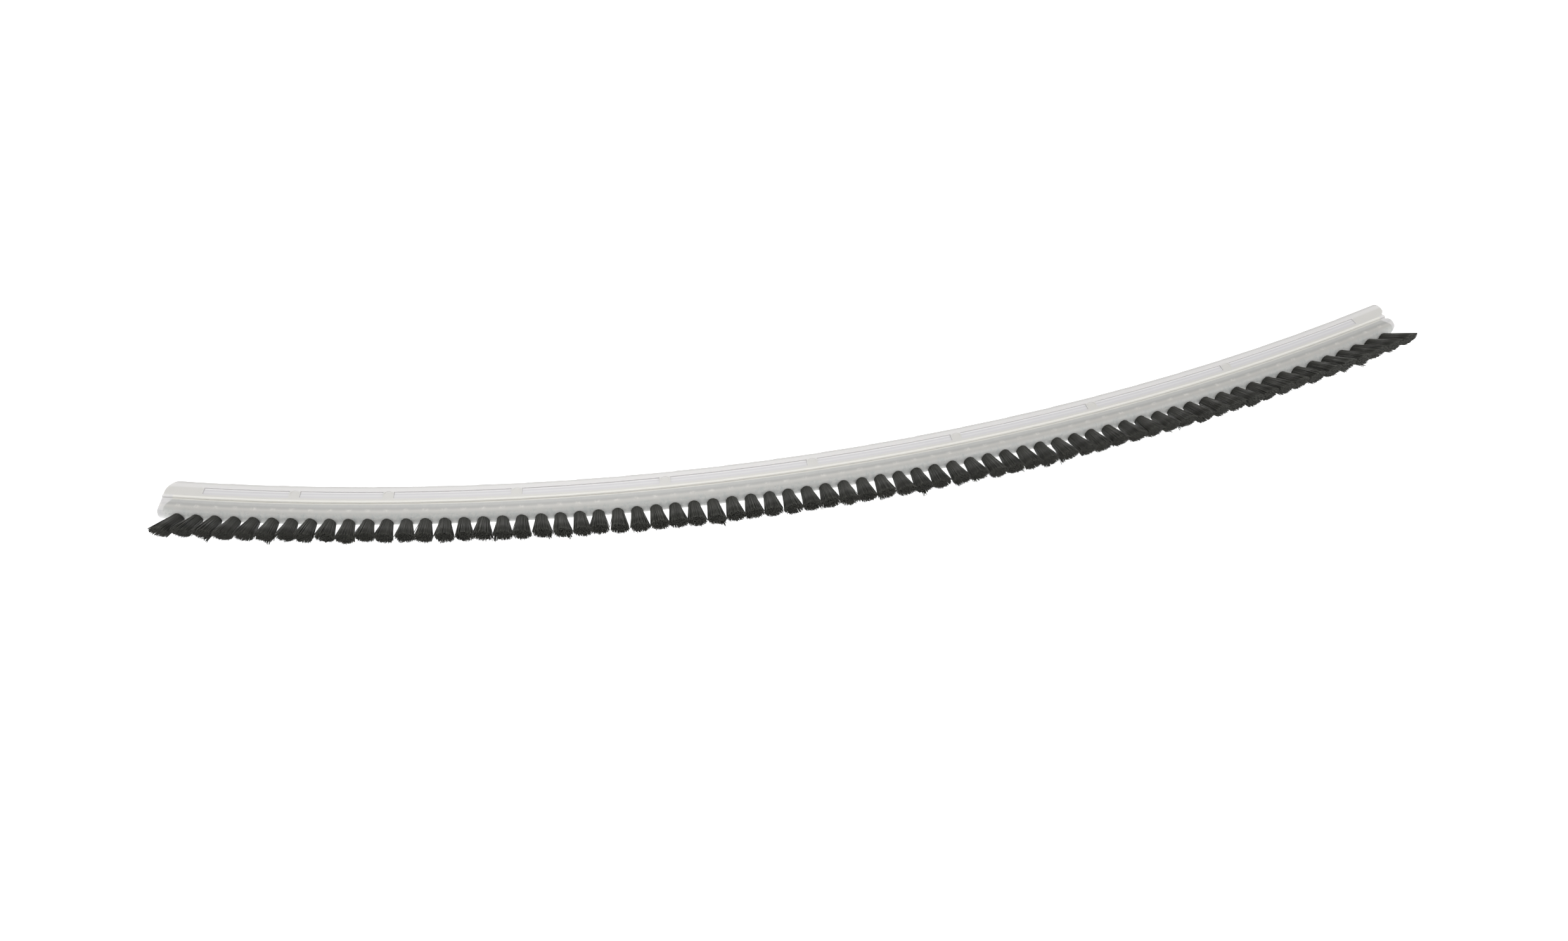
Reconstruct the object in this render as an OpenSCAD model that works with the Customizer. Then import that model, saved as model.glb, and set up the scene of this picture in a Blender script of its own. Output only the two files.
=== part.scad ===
// Curved bristle strip of a pool wall brush: one moulded back, one row of folded
// filament tufts along its convex edge, and a flat wire anchor across each fold.
// The back lies flat on its underside, its arc in the XY plane, tufts towards -Y.

/* [Back] */
// Radius of the arc that the nose follows
nose_r = 890; // [860:5:1200]
// Width of the strip, from its back edge to the tip of the nose
strip_w = 13.6; // [13.2:0.1:14.6]
// Thickness of the strip, which is also the diameter of the round nose
strip_t = 6.4; // [6.2:0.1:7]
// Plastic left beyond the centres of the first and last holes
end_margin = 7.1; // [7:0.1:9]
// Radius of the large rounded corner at the left end
left_corner_r = 5; // [4:0.5:6.5]

/* [Flange] */
// Distance from the back edge to the groove beside the tuft block
groove_u = 7.2; // [7:0.05:7.4]
// Width of that groove
groove_w = 2.3; // [1.5:0.1:2.4]
// Depth of that groove
groove_d = 0.6; // [0.5:0.1:0.7]
// How far the flange lies below the top of the tuft block
flange_drop = 0.4; // [0.2:0.1:0.6]
// Distance from the back edge to the pockets
pocket_u = 2.4; // [1.5:0.1:2.6]
// Width of a pocket
pocket_w = 2.6; // [2:0.1:2.8]
// Depth of a pocket
pocket_d = 0.35; // [0.2:0.05:1]
// Width of the rib between two pockets
rib_w = 3.8; // [3.2:0.1:5]

/* [Tufts] */
// Distance between neighbouring tufts along the nose
pitch = 6.6; // [6.3:0.05:7]
// Diameter of a tuft hole
hole_d = 4; // [3:0.1:4.1]
// Depth of a tuft hole from the tip of the nose
hole_depth = 5.5; // [5:0.25:6]
// Length of a tuft from the nose to its cut tips, along its lean
tuft_l = 15; // [8:0.5:20]
// Angle by which the middle tufts lean up from the plane of the strip
tuft_lean = 37; // [30:1:40]
// Diameter of a tuft at its tips
tip_d = 5.8; // [4.8:0.1:6]

/* [Anchors] */
// Length of an anchor, with its bite into the plastic at both ends
anchor_l = 4.8; // [4.4:0.1:5.4]
// Width of an anchor along the hole
anchor_w = 1.8; // [1.2:0.1:2.2]
// Thickness of the anchor wire
anchor_t = 0.4; // [0.3:0.05:0.5]

/* [Hidden] */
tuft_count = 69;
tufts_per_node = 2;
anchors_per_node = 3;
eps = 0.05;
overcut = 1;

// Positions along the arc are counted in tufts from the left, 0 to tuft_count - 1.
mid_index = (tuft_count - 1) / 2;
step_angle = pitch / nose_r * 180 / PI;
end_angle = (mid_index * pitch + end_margin) / nose_r * 180 / PI;

// The origin is in the middle of the underside, halfway along and halfway across.
arc_centre_y = nose_r - strip_w / 2;
back_r = nose_r - strip_w;
mid_z = strip_t / 2;

// Section of the strip, measured from the back edge
flange_z = strip_t - flange_drop;
groove_z = strip_t - groove_d;
bead_r = 0.6;
bead_u = groove_u - bead_r;
edge_r = 0.5;

// Places of the ribs between the pockets, and of the far ends of the outer pockets
rib_indices = [5.9, 10.9, 17.7, 25.6, 33.6, 41.7, 49.7, 58.2];
first_pocket_start = 1;
last_pocket_end = 67;
pocket_step_d = 0.1;
ejector_d = 3;
ejector_d_in = 0.1;
ejector_u = pocket_u + pocket_w / 2;

// Ends of the strip, measured inward from each end face
ledge = 2.1;
block_corner_r = 2.5;
left_nose_r = 0.4;
right_nose_r = 4.2;
flange_end_r = 2.2;
flange_end_u = 3.2;
block_end_r = 1.5;
block_end_u = 9.2;
notch_l = 1.5;

// A tuft turns from its hole into its lean at the elbow, just clear of the nose.
elbow_out = 0.5;
elbow_r = hole_d / 2 + 0.05;
fold_gap = 0.5;

// Packing has lifted and combed the tufts unevenly. Both angles, in degrees, are a
// polynomial of the place along the strip, from -1 at its left end to 1 at its right.
lift = [0, -0.5, 7.2, 3.8];
comb = [-1.2, -18.8, 11, 2.8, -9.9, 12];
function place_of(index) = (index - mid_index) / mid_index;
function polynomial(c, x, k = 0) = k < len(c) ? c[k] + x * polynomial(c, x, k + 1) : 0;
function lean_angle(index) = tuft_lean + polynomial(lift, place_of(index));
function comb_angle(index) = polynomial(comb, place_of(index));

function two_digits(n) = n < 10 ? str("0", n) : str(n);
function group_names(stem, per_node) =
    [for (g = [1 : ceil(tuft_count / per_node)]) str(stem, "_", two_digits(g))];
function group_members(g, per_node) =
    [for (i = [g * per_node : min((g + 1) * per_node, tuft_count) - 1]) i];

tuft_nodes = group_names("tufts", tufts_per_node);
anchor_nodes = group_names("anchors", anchors_per_node);

$fn = 48;
arc_fn = 1440; // fine steps, because the arc's radius is so large

// Moves its children to the tip of the nose at a place on the arc, at mid height.
// There, -Y points out along the hole, +X along the strip and +Z up.
module at_index(index) {
    at_angle((index - mid_index) * step_angle) translate([0, 0, mid_z]) children();
}

// The same at an angle from the middle, at the height of the underside.
module at_angle(angle) {
    translate([0, arc_centre_y, 0]) rotate([0, 0, angle]) translate([0, -nose_r, 0]) children();
}

// Sweeps a section along the arc between two angles from the middle. The section's
// x is the distance from the back edge, its y is the height.
module sweep_arc(from_angle, to_angle) {
    translate([0, arc_centre_y, 0])
        rotate([0, 0, from_angle - 90])
            rotate_extrude(angle = to_angle - from_angle, $fn = arc_fn)
                translate([back_r, 0])
                    children();
}

module strip_section() {
    difference() {
        union() {
            square([strip_w - mid_z, strip_t]);
            translate([strip_w - mid_z, mid_z]) circle(d = strip_t);
        }
        // flange top, below the top of the tuft block
        translate([-overcut, flange_z]) square([groove_u + overcut, strip_t]);
        // groove between the bead and the tuft block
        translate([groove_u, groove_z]) square([groove_w, strip_t]);
        // rounded long edges of the back face
        round_corner(edge_r);
        translate([0, flange_z]) mirror([0, 1]) round_corner(edge_r);
    }
    translate([bead_u, flange_z - bead_r + flange_drop]) circle(r = bead_r);
}

// What is cut away to round the corner at the origin of a shape in the first quadrant.
module round_corner(r) {
    difference() {
        translate([-overcut, -overcut]) square(r + overcut);
        translate([r, r]) circle(r = r);
    }
}

// Left end in plan: x runs inward from the end face, y inward from the nose.
module left_end_cut() {
    translate([0, strip_w]) mirror([0, 1]) round_corner(left_corner_r);
    round_corner(left_nose_r);
}

// Right end in plan: a shallow notch parts the round ends of flange and tuft block.
module right_end_cut() {
    round_corner(right_nose_r);
    translate([0, strip_w]) mirror([0, 1]) round_corner(flange_end_r);
    difference() {
        translate([-overcut, strip_w - block_end_u])
            square([notch_l + overcut, block_end_u - flange_end_u]);
        translate([flange_end_r, strip_w - flange_end_u]) circle(r = flange_end_r);
        translate([block_end_r, strip_w - block_end_u]) circle(r = block_end_r);
    }
}

// Round end of the raised tuft block in plan: all outside it drops to the ledge.
module block_end_cut() {
    block_y = strip_w - groove_u - groove_w;
    translate([-overcut, -overcut]) square([ledge + overcut, strip_w - groove_u + overcut]);
    translate([ledge, block_y]) mirror([0, 1]) difference() {
        translate([-eps, -groove_w]) square([block_corner_r + eps, groove_w + block_corner_r]);
        translate([block_corner_r, block_corner_r]) circle(r = block_corner_r);
        translate([block_corner_r, -groove_w]) square([eps, groove_w]);
    }
}

// A plan shape at one end of the strip, from a height up to beyond the top. The
// right end, side 1, is the mirror image of the left.
module at_end(side, from_z) {
    at_angle(side * end_angle) translate([0, 0, from_z]) {
        if (side > 0) mirror([1, 0, 0]) end_prism() children();
        else end_prism() children();
    }
}

module end_prism() {
    linear_extrude(strip_t + 2 * overcut) children();
}

module pocket(from_index, to_index) {
    from_angle = (from_index - mid_index) * step_angle;
    to_angle = (to_index - mid_index) * step_angle;
    sweep_arc(from_angle, to_angle) {
        translate([pocket_u, flange_z - pocket_d]) square([pocket_w, pocket_d + eps]);
        translate([pocket_u, flange_z - pocket_d - pocket_step_d])
            square([pocket_w / 2, pocket_step_d + eps]);
    }
}

module pockets() {
    half_rib = rib_w / 2 / pitch;
    starts = concat([first_pocket_start], [for (index = rib_indices) index + half_rib]);
    ends = concat([for (index = rib_indices) index - half_rib], [last_pocket_end]);
    for (k = [0 : len(starts) - 1]) pocket(starts[k], ends[k]);
}

module ejector_marks() {
    for (index = rib_indices)
        at_index(index)
            translate([0, strip_w - ejector_u, flange_z - mid_z - ejector_d_in])
                cylinder(d = ejector_d, h = ejector_d_in + eps);
}

module tuft_hole() {
    translate([0, hole_depth, 0]) rotate([90, 0, 0]) cylinder(d = hole_d, h = hole_depth + overcut);
}

module anchor_wire() {
    translate([-anchor_l / 2, hole_depth - fold_gap - anchor_w, -anchor_t / 2])
        cube([anchor_l, anchor_w, anchor_t]);
}

module back() {
    color([0.86, 0.86, 0.84, 0.8])
        difference() {
            sweep_arc(-end_angle, end_angle) strip_section();
            pockets();
            ejector_marks();
            translate([0, 0, -overcut]) {
                at_end(-1, 0) left_end_cut();
                at_end(1, 0) right_end_cut();
            }
            at_end(-1, groove_z) block_end_cut();
            at_end(1, groove_z) block_end_cut();
            for (i = [0 : tuft_count - 1]) at_index(i) {
                tuft_hole();
                anchor_wire();
            }
        }
}

// One tuft as a plain solid: the folded root in the hole, an elbow, and a leaning
// bundle that widens to its tips, which are trimmed parallel to the nose.
module tuft(lean, sideways) {
    tip_reach = tuft_l * cos(lean) * cos(sideways);
    difference() {
        union() {
            translate([0, hole_depth, 0])
                rotate([90, 0, 0])
                    cylinder(d = hole_d, h = hole_depth + elbow_out);
            translate([0, -elbow_out, 0]) {
                sphere(r = elbow_r);
                rotate([90 - lean, 0, 0])
                    rotate([0, sideways, 0])
                        cylinder(d1 = hole_d, d2 = tip_d, h = tuft_l + tip_d);
            }
        }
        anchor_wire();
        translate([-tuft_l, -elbow_out - tip_reach - tuft_l, -tuft_l])
            cube([2 * tuft_l, tuft_l, 3 * tuft_l]);
    }
}

module tuft_group(g) {
    color([0.13, 0.13, 0.12])
        for (i = group_members(g, tufts_per_node))
            at_index(i) tuft(lean_angle(i), comb_angle(i));
}

module anchor_group(g) {
    color([0.72, 0.7, 0.64])
        for (i = group_members(g, anchors_per_node)) at_index(i) anchor_wire();
}

back();
for (g = [0 : len(tuft_nodes) - 1])
    tuft_group(g);
for (g = [0 : len(anchor_nodes) - 1])
    anchor_group(g);
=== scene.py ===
import math
import bpy
import numpy as np
from mathutils import Matrix


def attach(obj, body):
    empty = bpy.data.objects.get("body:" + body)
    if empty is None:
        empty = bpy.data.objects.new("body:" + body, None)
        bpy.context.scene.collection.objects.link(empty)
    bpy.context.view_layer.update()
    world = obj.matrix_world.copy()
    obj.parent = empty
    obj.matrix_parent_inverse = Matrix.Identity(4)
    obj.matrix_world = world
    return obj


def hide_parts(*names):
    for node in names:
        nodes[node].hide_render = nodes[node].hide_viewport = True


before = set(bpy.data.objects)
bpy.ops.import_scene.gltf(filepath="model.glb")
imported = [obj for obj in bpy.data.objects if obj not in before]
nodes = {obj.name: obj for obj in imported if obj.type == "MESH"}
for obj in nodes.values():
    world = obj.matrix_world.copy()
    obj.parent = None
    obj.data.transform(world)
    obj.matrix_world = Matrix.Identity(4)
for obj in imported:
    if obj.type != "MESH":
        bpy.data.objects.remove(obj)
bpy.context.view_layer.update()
mm = 0.001
inMm = 1000  # from metres

# the strip that everything follows
strip = {
    "noseRadius": 890 * mm,  # arc that the tip of the nose follows
    "width": 13.6 * mm,
    "thick": 6.4 * mm,
    "pitch": 6.6 * mm,  # between two tufts
    "tufts": 69,
    "holeRadius": 2.0 * mm,
    "ribs": (5.9, 10.9, 17.7, 25.6, 33.6, 41.7, 49.7, 58.2),  # places, in tufts from the left
}
midTuft = (strip["tufts"] - 1) / 2
arcCentreY = strip["noseRadius"] - strip["width"] / 2
stepAngle = strip["pitch"] / strip["noseRadius"]


cameraSet = {  # lens and sensor in mm, place in metres, and two unit directions
    "place": (-0.057927, -0.241785, 0.376906),
    "right": (0.983499, -0.180911, 0.000371),
    "up": (0.150361, 0.818561, 0.554391),
    "lens": 29.103,
    "sensor": 36.0,
    "clip": (0.01, 50),
}


def makeCamera():
    data = bpy.data.cameras.new("camera")
    data.lens, data.sensor_width = cameraSet["lens"], cameraSet["sensor"]
    data.clip_start, data.clip_end = cameraSet["clip"]
    right, up = np.array(cameraSet["right"]), np.array(cameraSet["up"])
    back = np.cross(right, up)
    turn = Matrix([(right[k], up[k], back[k]) for k in range(3)])
    cam = bpy.data.objects.new("camera", data)
    cam.matrix_world = Matrix.Translation(cameraSet["place"]) @ turn.to_4x4()
    bpy.context.collection.objects.link(cam)
    bpy.context.scene.camera = cam


lightSet = {
    "dome": 0.5,
    "key": {"place": (-0.15, 0.25, 0.95), "size": 0.9, "power": 5.5},
    "fill": {"place": (0.6, -0.7, 0.8), "size": 1.0, "power": 3.0},
}
floorSet = {"reach": 3.0, "gap": 0.05 * mm, "glow": 0.8, "rough": 0.9, "colour": (0.9, 0.9, 0.9, 1)}


def makeLight(name, place, size, power):
    data = bpy.data.lights.new(name, "AREA")
    data.shape, data.size, data.energy = "DISK", size, power
    lamp = bpy.data.objects.new(name, data)
    aim = Matrix.Translation(place).to_translation()
    lamp.location = aim
    lamp.rotation_euler = (-aim).to_track_quat("-Z", "Y").to_euler()
    bpy.context.collection.objects.link(lamp)


mixSockets = {"colours": (6, 7), "result": 2}  # a Mix node's numbered sockets for colours


class Wire:
    # wraps one socket, so that node maths reads as a Python expression
    def __init__(self, tree, socket=None):
        self.tree, self.socket = tree, socket

    def node(self, kind, settings=None, inputs=None, out=0):
        made = self.tree.nodes.new(kind)
        for name, value in (settings or {}).items():
            setattr(made, name, value)
        for name, value in (inputs or {}).items():
            if isinstance(value, Wire):
                self.tree.links.new(value.socket, made.inputs[name])
            else:
                made.inputs[name].default_value = value
        return Wire(self.tree, made.outputs[out] if made.outputs else None)

    def math(self, how, *values):
        return self.node("ShaderNodeMath", {"operation": how}, dict(enumerate(values)))

    def __add__(self, other):
        return self.math("ADD", self, other)

    def __sub__(self, other):
        return self.math("SUBTRACT", self, other)

    def __mul__(self, other):
        return self.math("MULTIPLY", self, other)

    def __truediv__(self, other):
        return self.math("DIVIDE", self, other)

    def __rsub__(self, other):
        return self.math("SUBTRACT", other, self)

    def __rtruediv__(self, other):
        return self.math("DIVIDE", other, self)

    __radd__, __rmul__ = __add__, __mul__

    def smooth(self, low, high):
        # 0 below low, 1 above high, an S curve between
        return self.node("ShaderNodeMapRange", {"interpolation_type": "SMOOTHSTEP"},
                         {"Value": self, "From Min": low, "From Max": high})

    def between(self, low, high, soft):
        # 1 from low to high, with soft edges
        return self.smooth(low - soft, low + soft) * (1 - self.smooth(high - soft, high + soft))

    def noise(self, scale, detail=2.0, rough=0.5):
        return self.node("ShaderNodeTexNoise", {}, {
            "Vector": self, "Scale": scale, "Detail": detail, "Roughness": rough})

    def mix(self, first, second):
        # colours blended by this value
        def whole(colour):
            return colour if isinstance(colour, Wire) else (*colour[:3], 1)
        colours = zip(mixSockets["colours"], (whole(first), whole(second)))
        return self.node("ShaderNodeMix", {"data_type": "RGBA"}, {"Factor": self, **dict(colours)},
                         mixSockets["result"])


def newMaterial(name):
    material = bpy.data.materials.new(name)
    material.use_nodes = True
    material.node_tree.nodes.clear()
    return material, Wire(material.node_tree)


def close(wire, shader):
    wire.node("ShaderNodeOutputMaterial", {}, {"Surface": shader})


milky = {  # colours of the plastic, and how it scatters light
    "edge": (0.655, 0.645, 0.635),
    # the next colour: a painted highlight along the rounded top of the flange
    "rim": (0.75, 0.74, 0.73),
    "pocket": (0.66, 0.65, 0.66),
    # the next colour: painted light that lifts the shade of the pocket's upper wall
    "pocketEdge": (0.94, 0.93, 0.93),
    "pocketLine": (0.72, 0.715, 0.72),
    "flange": (0.67, 0.66, 0.635),
    # the next colour: a painted warm highlight along the top of the bead
    "bead": (0.83, 0.815, 0.77),
    # the next two colours: painted shade in the groove, darkest at its foot by the tuft block
    "groove": (0.525, 0.525, 0.51),
    "foot": (0.44, 0.44, 0.425),
    "block": (0.55, 0.54, 0.515),
    "nose": (0.76, 0.76, 0.74),
    "end": (0.74, 0.73, 0.73),
    "spot": (0.76, 0.74, 0.70),
    # the next two colours: greenish painted shade beside each tuft root, where the black bristles darken
    # the plastic
    "rootShadeSoft": (0.44, 0.49, 0.49),
    "rootShadeDark": (0.20, 0.25, 0.24),
    "patch": (0.44, 0.45, 0.45),
    "rough": 0.32,
    "depth": 0.0009,  # how far light spreads inside
    "subsurface": 0.6,
    "transmission": 0.06,
    "bend": 1.49,  # index of refraction
    "ledge": 2.1,  # plain part beyond the round ends of the tuft block, mm
    "margin": 7.1,  # from the first and last tufts to the ends, mm
    "endRound": 1.8,  # how much further in the block's ends start at the groove, mm
    "endShare": 0.85,
    "bump": {"Strength": 0.12, "Distance": 0.1 * mm},
}
bands = {  # mm from the back edge: where a band begins and where it is whole
    "rim": (0.7, 1.3),
    "flange": (2.1, 3.0),
    "pocketEdge": (2.5, 3.1),
    "plain": (5.4, 6.4),
    "bead": (5.6, 6.5),
    "roundEnd": (7.0, 10.5),
    "groove": (7.1, 7.9),
    "foot": (8.4, 9.2),
    "block": (9.7, 10.6),
    "nose": (11.0, 13.0),
}
zones = {  # mm from the back edge: from, to and how soft its edges are
    "pocket": (2.4, 5.2, 0.3),
    "pocketLine": (3.6, 4.2, 0.25),
    "patch": (7.6, 9.6, 0.4),
    "spot": (9.7, 10.8, 0.4),
    "roots": (11.3, 13.8, 0.9),
}
pocketSpan = {
    "height": (4.6, 5.0),  # mm, above which the top face is meant
    "ribSide": (1.7, 2.2),  # mm from the middle of a rib
    "tufts": (1, 67, 0.05),  # first and last tuft, and softness
}
blotchesAndShade = {  # noise scale, detail and roughness, the noise from bare to full, and the strength
    "spot": {"noise": (1.1, 3, 0.6), "range": (0.35, 0.65), "share": 0.5},
    # the next two: painted shade beside the tuft roots
    "rootShadeSoft": {"noise": (0.9, 3, 0.6), "range": (0.36, 0.66), "share": 0.4},
    "rootShadeDark": {"noise": (3.4, 2, 0.5), "range": (0.6, 0.7), "share": 0.4},
    "patch": {"noise": (0.5, 3, 0.6), "range": (0.4, 0.7), "share": 0.3},
}
besideTuft = {"spot": (0.4, 1.5), "rootShadeSpan": (1.6, 3.3, 0.7), "least": 0.3}  # mm from a tuft's middle
grainNoise = (3.0, 3, 0.6)
farAway = 100.0  # mm, more than any distance to a rib
endSoftness = 0.4  # mm


def stripCoordinates(root):
    # distance from the back edge (mm), height (mm) and place along the arc (in tufts)
    place = root.node("ShaderNodeTexCoord", {}, {}, "Object")
    x, y, z = (place.node("ShaderNodeSeparateXYZ", {}, {"Vector": place}, k) for k in "XYZ")
    down = arcCentreY - y
    reach = root.math("SQRT", x * x + down * down)
    across = (reach - (strip["noseRadius"] - strip["width"])) * inMm
    along = x.math("ARCTAN2", x, down) / stepAngle + midTuft
    return across, z * inMm, along


def makeMilkyPlastic():
    material, root = newMaterial("milkyPolypropylene")
    across, height, along = stripCoordinates(root)
    pitch = strip["pitch"] * inMm
    unrolled = root.node("ShaderNodeCombineXYZ", {}, {"X": along * pitch, "Y": across, "Z": height})
    ribAway = farAway
    for rib in strip["ribs"]:
        ribAway = root.math("MINIMUM", ribAway, root.math("ABSOLUTE", (along - rib) * pitch))
    fromEnd = root.math("MINIMUM", along, strip["tufts"] - 1 - along) * pitch + milky["margin"]
    top = height.smooth(*pocketSpan["height"])
    betweenRibs = ribAway.smooth(*pocketSpan["ribSide"]) * along.between(*pocketSpan["tufts"])
    inPocket = across.between(*zones["pocket"]) * betweenRibs * top
    # bands that run along the strip, from the back edge to the nose
    # the rim band is a painted highlight on the flange's rounded top
    colour = across.smooth(*bands["rim"]).mix(milky["edge"], milky["rim"])
    colour = across.smooth(*bands["flange"]).mix(colour, milky["flange"])
    colour = inPocket.mix(colour, milky["pocket"])
    colour = (inPocket * across.between(*zones["pocketLine"])).mix(colour, milky["pocketLine"])
    # painted light along the pocket's upper edge, lifting the shade cast by its wall
    colour = (inPocket * (1 - across.smooth(*bands["pocketEdge"]))).mix(colour, milky["pocketEdge"])
    # a painted warm highlight along the top of the bead
    colour = (across.smooth(*bands["bead"]) * top).mix(colour, milky["bead"])
    # groove and foot are painted shade, darkest at the foot by the tuft block
    for band in ("groove", "foot", "block", "nose"):
        colour = across.smooth(*bands[band]).mix(colour, milky[band])
    # the tuft block's ends are round in plan: they start further in towards the groove
    roundEnd = milky["ledge"] + milky["endRound"] * (1 - across.smooth(*bands["roundEnd"]))
    plain = (1 - (fromEnd - roundEnd).smooth(-endSoftness, endSoftness)) * across.smooth(*bands["plain"])
    colour = (plain * milky["endShare"]).mix(colour, milky["end"])
    # beside each tuft: a pale spot behind it and painted shade along its rim, where the black bristles in
    # the hole darken the plastic
    aside = along - root.math("ROUND", along)
    aside = root.math("ABSOLUTE", aside) * pitch
    nearRoots = across.between(*zones["roots"]) * (
        besideTuft["least"] + (1 - besideTuft["least"]) * aside.between(*besideTuft["rootShadeSpan"]))
    places = {
        "spot": (1 - aside.smooth(*besideTuft["spot"])) * across.between(*zones["spot"]),
        # the next two: painted shade along each tuft's rim
        "rootShadeSoft": nearRoots,
        "rootShadeDark": nearRoots,
        "patch": across.between(*zones["patch"]),
    }
    # each entry: blotches over the strip, and the painted shade beside the roots
    for name, overlay in blotchesAndShade.items():
        strength = places[name] * unrolled.noise(*overlay["noise"]).smooth(*overlay["range"])
        colour = (strength * overlay["share"]).mix(colour, milky[name])
    bump = root.node("ShaderNodeBump", {}, {**milky["bump"], "Height": unrolled.noise(*grainNoise)})
    shader = root.node("ShaderNodeBsdfPrincipled", {"subsurface_method": "RANDOM_WALK"}, {
        "Base Color": colour, "Roughness": milky["rough"], "IOR": milky["bend"], "Normal": bump,
        "Subsurface Weight": milky["subsurface"], "Subsurface Radius": (1, 1, 1),
        "Subsurface Scale": milky["depth"], "Transmission Weight": milky["transmission"]})
    close(root, shader)
    return material


nylon = {
    "black": (0.0125, 0.0125, 0.0095),
    # the paler colour: each strand's own tone, and at the cut tips worn ends with a painted sheen where
    # they catch the light
    "dustAndSheen": (0.054, 0.055, 0.044),
    "rough": 0.42,
    "bend": 1.53,  # index of refraction
    "allOver": 0.6,  # how much a strand's own shade counts all along it
    "cutEnd": (0.9, 1.0),  # share of the length, where the pale cut begins and is whole
    "cutLeast": 0.15,
    "cutAdded": 0.9,
    "cutShades": (0.45, 0.95),
}


def makeBlackNylon():
    material, root = newMaterial("blackNylonFilament")
    shade = root.node("ShaderNodeAttribute", {"attribute_name": "shade"}, {}, "Fac")
    toTip = root.node("ShaderNodeAttribute", {"attribute_name": "toTip"}, {}, "Fac")
    cut = nylon["cutLeast"] + shade.smooth(*nylon["cutShades"]) * nylon["cutAdded"]
    # pale cut tips: worn ends, partly a painted sheen of light on the cut
    wornAndLit = shade * nylon["allOver"] + toTip.smooth(*nylon["cutEnd"]) * cut
    colour = wornAndLit.mix(nylon["black"], nylon["dustAndSheen"])
    shader = root.node("ShaderNodeBsdfPrincipled", {}, {
        "Base Color": colour, "Roughness": nylon["rough"], "IOR": nylon["bend"]})
    close(root, shader)
    return material


steel = {
    "dull": (0.66, 0.63, 0.55),
    "bright": (0.76, 0.73, 0.66),
    "streak": (3000, 2),  # noise scale and detail
    "rough": (0.25, 0.2),  # least, and how much the streaks add
}


def makeWireSteel():
    material, root = newMaterial("drawnFlatWire")
    place = root.node("ShaderNodeTexCoord", {}, {}, "Object")
    streak = place.noise(*steel["streak"])
    least, added = steel["rough"]
    shader = root.node("ShaderNodeBsdfPrincipled", {}, {
        "Base Color": streak.mix(steel["dull"], steel["bright"]),
        "Roughness": streak * added + least, "Metallic": 1.0})
    close(root, shader)
    return material


def makeFloorWhite():
    material, root = newMaterial("floorWhite")
    shader = root.node("ShaderNodeBsdfPrincipled", {}, {
        "Base Color": floorSet["colour"], "Roughness": floorSet["rough"], "Specular IOR Level": 0.0,
        "Emission Color": (1, 1, 1, 1), "Emission Strength": floorSet["glow"]})
    close(root, shader)
    return material


tuft = {
    "length": 15 * mm,  # from the nose to the cut tips, along the lean
    "lean": (37, -0.5, 7.2, 3.8),  # degrees up, a polynomial along the strip
    "comb": (-1.2, -18.8, 11, 2.8, -9.9, 12),  # degrees sideways, the same way
    "tipHalfWide": 3.3 * mm,
    "tipHalfHigh": 3.2 * mm,
    "elbowOut": 0.1 * mm,
    "rimBack": 0.65 * mm,  # how far the top of the hole's rim lies behind the nose
    "bendLength": 1.7 * mm,
    "bendRadius": 2.15 * mm,
    "lockShare": 0.35,  # share of tufts with a stray lock hanging from their edge
    "lockReach": 0.42,
    "lockDrop": 2.6 * mm,
    "lockPull": (0.6, 0.25, -1.0),  # aside, outward and up, as shares of the drop
    "lockTurn": (-2.6, -0.5),  # radians round the bundle, its lower side
    "lockLeast": 0.4,  # pull of the weakest lock
    "strandLeast": 0.3,  # share of that pull on a strand that hardly follows
    "swell": 0.15 * mm,  # how much wider the bundle is at the mouth than in the hole
    "mouthDepth": 0.9 * mm,
    "mouthSink": 0.05 * mm,
    "anchorTop": {"depth": 3.1 * mm, "squeeze": 0.3 * mm, "lift": 0.3 * mm},
    "anchorEnd": {"depth": 4.9 * mm, "squeeze": 0.4 * mm, "lift": 0.35 * mm},
    "foldDepth": 5.12 * mm,
    "foldSpread": 0.25 * mm,
    "bendOut": 0.3 * mm,
    "elbowShare": 0.4,
    "elbowLow": 0.3 * mm,
    "bow": 0.1 * mm,  # how far a strand bows up at its middle
    "toTip": (1.0, 0.55, 0.15, 0.05, 0, 0, 0),  # at each point of a strand, from its cut tip
    "flareScatter": 0.05,
    "acrossScatter": 0.08,
    "foldedStrands": 165,
    "strandRadius": 0.115 * mm,
    "sides": 4,
    "wild": 0.1 * mm,  # how far a tip strays from its place in the bundle
    "cutScatter": 0.1 * mm,
    "leanScatter": 0.8,  # degrees from tuft to tuft
    "combScatter": 0.9,
    "seed": 11,
    "perPiece": 2,
}


def tuftFrames(index):
    # outward, sideways and upward directions, and the point of the nose, at each tuft
    angle = (index - midTuft) * stepAngle
    zero, one = np.zeros_like(angle), np.ones_like(angle)
    outward = np.stack([np.sin(angle), -np.cos(angle), zero], -1)
    sideways = np.stack([np.cos(angle), np.sin(angle), zero], -1)
    upward = np.stack([zero, zero, one], -1)
    nose = outward * strip["noseRadius"] + np.array([0, arcCentreY, strip["thick"] / 2])
    return nose, outward, sideways, upward


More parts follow.
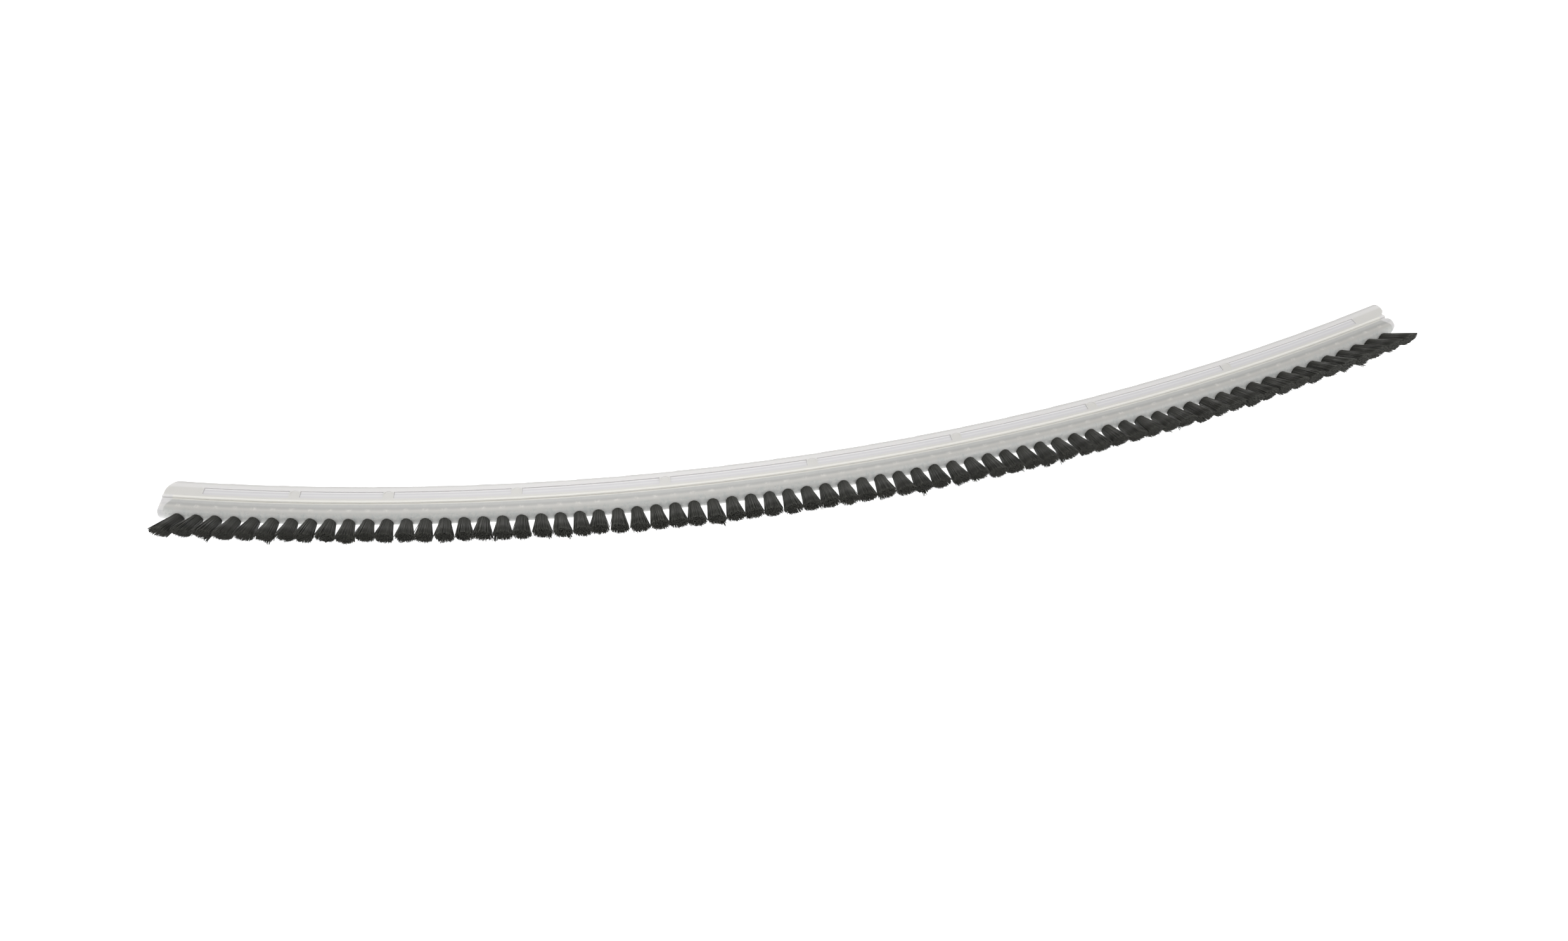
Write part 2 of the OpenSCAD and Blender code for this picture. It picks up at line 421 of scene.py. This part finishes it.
def strandPaths():
    # every strand runs from one cut tip down into the hole, round the fold and out to
    # the other tip. Points are worked out in (sideways, outward, upward) of each tuft.
    rng = np.random.default_rng(tuft["seed"])
    count, folded = strip["tufts"], tuft["foldedStrands"]
    index = np.arange(count, dtype=float)
    place = (index - midTuft) / midTuft
    polyval = np.polynomial.polynomial.polyval
    lean = np.radians(polyval(place, tuft["lean"]) + rng.normal(0, tuft["leanScatter"], count))
    comb = np.radians(polyval(place, tuft["comb"]) + rng.normal(0, tuft["combScatter"], count))
    # two halves of a disc: sunflower points, the upper half paired with the lower
    ends = 2 * folded
    k = np.arange(ends)
    golden = math.pi * (3 - math.sqrt(5))
    radius = np.sqrt((k + 0.5) / ends)
    turn = k * golden + rng.uniform(0, 2 * math.pi, (count, 1))
    disc = np.stack([radius * np.cos(turn), radius * np.sin(turn)], -1)  # count, ends, 2
    order = np.argsort(disc[..., 1], axis=1)
    low, high = order[:, :folded], order[:, folded:]
    halves = []
    for half in (high, low):
        points = np.take_along_axis(disc, half[..., None], 1)
        across = np.argsort(points[..., 0] + rng.normal(0, tuft["acrossScatter"], points.shape[:2]), axis=1)
        halves.append(np.take_along_axis(points, across[..., None], 1))
    heading = np.stack([np.sin(comb), np.cos(lean) * np.cos(comb), np.sin(lean) * np.cos(comb)], -1)
    aside = np.array([1.0, 0, 0]) - heading * heading[:, :1]
    aside /= np.linalg.norm(aside, axis=-1, keepdims=True)
    above = np.cross(aside, heading)
    grip = strip["holeRadius"] - tuft["strandRadius"]
    swell = grip + tuft["swell"]
    lockTurn = rng.uniform(*tuft["lockTurn"], (count, 1))
    lockAt = np.stack([np.cos(lockTurn), np.sin(lockTurn)], -1)
    hasLock = rng.uniform(0, 1, (count, 1)) < tuft["lockShare"]
    hasLock = hasLock * rng.uniform(tuft["lockLeast"], 1, (count, 1))
    pullAside, pullOut, pullUp = tuft["lockPull"]
    lockPull = tuft["lockDrop"] * np.stack([
        lockAt[..., 0] * pullAside, np.full_like(lockTurn, pullOut), np.full_like(lockTurn, pullUp)], -1)
    paths, marks = [], []
    for side, half in zip((1, -1), halves):
        a, b = half[..., 0], half[..., 1]
        flare = 1 + rng.normal(0, tuft["flareScatter"], (count, folded))
        lockAway = np.hypot(a - lockAt[..., 0], b - lockAt[..., 1])
        lock = np.clip(1 - lockAway / tuft["lockReach"], 0, 1)
        lock = lock * hasLock * rng.uniform(tuft["strandLeast"], 1, a.shape)
        tip = heading[:, None, :] * tuft["length"] + lock[..., None] * lockPull + np.stack([
            a * tuft["tipHalfWide"] * flare + rng.normal(0, tuft["wild"], a.shape),
            np.full_like(a, tuft["elbowOut"]) + rng.normal(0, tuft["cutScatter"], a.shape),
            b * tuft["tipHalfHigh"] * flare + rng.normal(0, tuft["wild"], a.shape)], -1)

        def inHole(depth, squeeze=0.0, lift=0.0):
            up = side * lift + b * (grip - squeeze)
            return np.stack([a * grip, np.full_like(a, -depth), up], -1)
        mouth = inHole(tuft["mouthDepth"])
        # the bundle bends right at the mouth: its upper strands turn at the hole's rim,
        # which lies back on the round nose, and its lower strands go round the outside
        sunk = -tuft["mouthSink"] - np.clip(b, 0, 1) ** 2 * tuft["rimBack"]
        start = np.stack([a * swell, sunk, b * swell], -1)
        anchorTop, anchorEnd = inHole(**tuft["anchorTop"]), inHole(**tuft["anchorEnd"])
        section = a[..., None] * aside[:, None, :] + b[..., None] * above[:, None, :]
        past = (heading[:, None, :] * tuft["bendLength"] + np.array([0, tuft["bendOut"], 0])
                + section * tuft["bendRadius"])
        lowOut = np.stack([0 * a, np.clip(-b, 0, 1) * tuft["elbowLow"], 0 * a], -1)
        elbow = start + (past - start) * tuft["elbowShare"] + lowOut
        middle = past + (tip - past) * 0.5 + np.array([0, 0, tuft["bow"]])
        paths.append(np.stack([tip, middle, past, elbow, mouth, anchorTop, anchorEnd], 2))
        marks.append(np.broadcast_to(np.array(tuft["toTip"], float), paths[-1].shape[:3]))
    fold = (paths[0][:, :, -1] + paths[1][:, :, -1]) / 2
    fold[..., 1] = -(tuft["foldDepth"] + tuft["foldSpread"] * np.abs(halves[0][..., 1]))
    fold = fold[:, :, None, :]
    path = np.concatenate([paths[0], fold, paths[1][:, :, ::-1]], 2)
    mark = np.concatenate([marks[0], np.zeros(marks[0].shape[:2] + (1,)), marks[1][:, :, ::-1]], 2)
    shade = rng.uniform(0, 1, (count, folded))
    return path, mark, shade, rng.uniform(0, math.pi, (count, folded))


def sweepStrands(path, spin):
    # a ring of a few points round each point of each path: centre + radius times
    # (cos of one normal + sin of the other), both square to the path's own direction
    step = np.empty_like(path)
    step[:, :, 1:-1] = path[:, :, 2:] - path[:, :, :-2]
    step[:, :, 0], step[:, :, -1] = path[:, :, 1] - path[:, :, 0], path[:, :, -1] - path[:, :, -2]
    step /= np.linalg.norm(step, axis=-1, keepdims=True)
    sidewards = np.broadcast_to(np.array([1.0, 0, 0]), step.shape)
    first = sidewards - step * (sidewards * step).sum(-1, keepdims=True)
    first /= np.linalg.norm(first, axis=-1, keepdims=True)
    second = np.cross(step, first)
    turn = spin[..., None, None] + np.arange(tuft["sides"]) * 2 * math.pi / tuft["sides"]
    wave = np.cos(turn)[..., None] * first[:, :, :, None] + np.sin(turn)[..., None] * second[:, :, :, None]
    return path[:, :, :, None] + wave * tuft["strandRadius"]


def strandFaces(strands, rings, sides):
    # quads between neighbouring rings, for every strand
    ring = np.arange(rings - 1)[:, None] * sides
    here, onward = np.arange(sides), (np.arange(sides) + 1) % sides
    quads = np.stack([ring + here, ring + onward, ring + sides + onward, ring + sides + here], -1)
    quads = quads.reshape(-1, 4)
    return quads[None] + np.arange(strands)[:, None, None] * rings * sides


def meshFrom(name, points, quads, caps, marks, shades, material):
    mesh = bpy.data.meshes.new(name)
    mesh.vertices.add(len(points))
    mesh.vertices.foreach_set("co", points.astype(np.float32).ravel())
    loops = np.concatenate([quads.ravel(), caps.ravel()])
    sizes = np.concatenate([np.full(len(quads), quads.shape[1]), np.full(len(caps), caps.shape[1])])
    mesh.loops.add(len(loops))
    mesh.loops.foreach_set("vertex_index", loops.astype(np.int32))
    mesh.polygons.add(len(sizes))
    mesh.polygons.foreach_set("loop_start", (np.cumsum(sizes) - sizes).astype(np.int32))
    smooth = np.concatenate([np.ones(len(quads), bool), np.zeros(len(caps), bool)])
    mesh.update(calc_edges=True)
    mesh.polygons.foreach_set("use_smooth", smooth)
    for label, values in (("toTip", marks), ("shade", shades)):
        attribute = mesh.attributes.new(label, "FLOAT", "POINT")
        attribute.data.foreach_set("value", values.astype(np.float32))
    mesh.materials.append(material)
    mesh.validate()
    made = bpy.data.objects.new(name, mesh)
    bpy.context.collection.objects.link(made)
    return made


def makeTufts(material):
    path, mark, shade, spin = strandPaths()
    surface = sweepStrands(path, spin)  # tuft, strand, ring, side, 3
    nose, outward, sideways, upward = tuftFrames(np.arange(strip["tufts"], dtype=float))
    turn = np.stack([sideways, outward, upward], 1)  # rows: what each local axis is in the room
    world = np.einsum("tsrkc,tcd->tsrkd", surface, turn) + nose[:, None, None, None, :]
    tufts, strands, rings, sides = world.shape[:4]
    made = []
    for group in range(math.ceil(tufts / tuft["perPiece"])):
        members = slice(group * tuft["perPiece"], min((group + 1) * tuft["perPiece"], tufts))
        points = world[members].reshape(-1, 3)
        count = (members.stop - members.start) * strands
        quads = strandFaces(count, rings, sides).reshape(-1, 4)
        base = np.arange(count)[:, None] * rings * sides
        side = np.arange(sides)
        caps = np.concatenate([base + side[::-1], base + (rings - 1) * sides + side])  # flat cut tips
        marks = np.repeat(mark[members].reshape(-1), sides)
        shades = np.repeat(shade[members].reshape(-1), rings * sides)
        name = f"tufts_{group + 1:02d}"
        piece = meshFrom("bristles_" + name[-2:], points, quads, caps, marks, shades, material)
        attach(piece, "root")
        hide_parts(name)
        made.append(piece)
    return made


def giveFinish(piece, material):
    piece.data.materials.clear()
    piece.data.materials.append(material)


makeCamera()
for name in ("key", "fill"):
    makeLight(name, **lightSet[name])
world = bpy.data.worlds.new("studio")
world.use_nodes = True
dome = world.node_tree.nodes["Background"].inputs
dome["Color"].default_value = (1, 1, 1, 1)
dome["Strength"].default_value = lightSet["dome"]
bpy.context.scene.world = world
bpy.context.scene.view_settings.view_transform = "Standard"
print("camera and lights made")

reach, low = floorSet["reach"], -floorSet["gap"]
corners = [(-reach, -reach, low), (reach, -reach, low), (reach, reach, low), (-reach, reach, low)]
floorMesh = bpy.data.meshes.new("floor")
floorMesh.from_pydata(corners, [], [(0, 1, 2, 3)])
floorMesh.materials.append(makeFloorWhite())
floor = bpy.data.objects.new("floor", floorMesh)
bpy.context.collection.objects.link(floor)
print("floor made")

milkyPlastic, blackNylon, wireSteel = makeMilkyPlastic(), makeBlackNylon(), makeWireSteel()
for name, piece in nodes.items():
    if name == "back":
        giveFinish(piece, milkyPlastic)
    elif name.startswith("anchors"):
        giveFinish(piece, wireSteel)
print("finishes given to the back and the anchors")

tuftPieces = makeTufts(blackNylon)
print("tufts made:", len(tuftPieces), "pieces")
